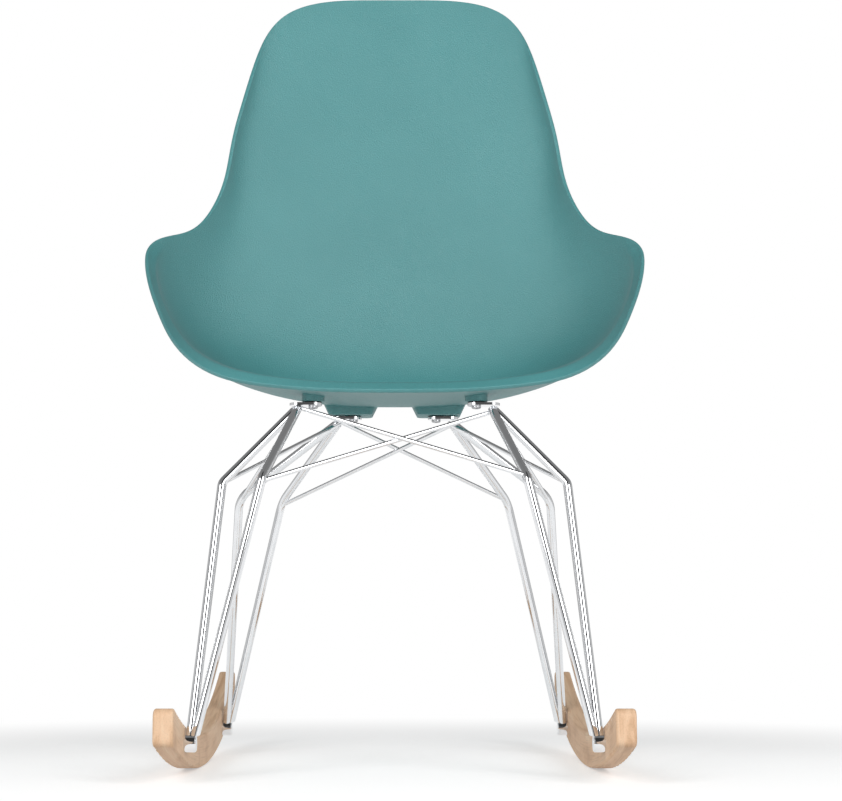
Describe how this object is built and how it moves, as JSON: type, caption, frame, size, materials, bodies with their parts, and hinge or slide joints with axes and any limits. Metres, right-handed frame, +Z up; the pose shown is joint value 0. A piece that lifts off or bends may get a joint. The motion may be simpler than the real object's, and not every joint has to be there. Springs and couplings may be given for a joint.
{
  "type": "rocking chair",
  "caption": "Rocking armchair with a moulded one-piece bucket shell on a bent and braced wire base, standing on two curved wooden runners.",
  "frame": {"origin": "on the floor, on the centre plane, under the middle of the four feet, where the runners' arcs touch the floor", "axes": "+Z up, +Y to the rear (the back rest's side), +X across to the sitter's left"},
  "size_m": [0.6032, 0.627, 1.0015],
  "materials": {
    "shell_plastic": "fine-textured matte polypropylene",
    "runner_oak": "oiled light oak",
    "chrome_wire": "polished chrome",
    "screw_steel": "zinc-plated",
    "insert_brass": "plain",
    "washer_rubber": "matte black"
  },
  "bodies": {
    "root": {"cross_brace_front_left": "chrome_wire", "cross_brace_front_right": "chrome_wire", "cross_brace_rear_left": "chrome_wire", "cross_brace_rear_right": "chrome_wire", "foot_bolts": "screw_steel", "foot_standoff_front_left": "chrome_wire", "foot_standoff_front_right": "chrome_wire", "foot_standoff_rear_left": "chrome_wire", "foot_standoff_rear_right": "chrome_wire", "leg_rod_front_left_inner": "chrome_wire", "leg_rod_front_left_outer": "chrome_wire", "leg_rod_front_right_inner": "chrome_wire", "leg_rod_front_right_outer": "chrome_wire", "leg_rod_rear_left_inner": "chrome_wire", "leg_rod_rear_left_outer": "chrome_wire", "leg_rod_rear_right_inner": "chrome_wire", "leg_rod_rear_right_outer": "chrome_wire", "mount_washers": "washer_rubber", "mounting_tab_front_left": "chrome_wire", "mounting_tab_front_right": "chrome_wire", "mounting_tab_rear_left": "chrome_wire", "mounting_tab_rear_right": "chrome_wire", "runner_left": "runner_oak", "runner_right": "runner_oak", "seat_screws": "screw_steel", "seat_shell": "shell_plastic", "shell_thread_inserts": "insert_brass", "side_brace_front_left": "chrome_wire", "side_brace_front_right": "chrome_wire", "side_brace_rear_left": "chrome_wire", "side_brace_rear_right": "chrome_wire"}
  },
  "joints": []
}
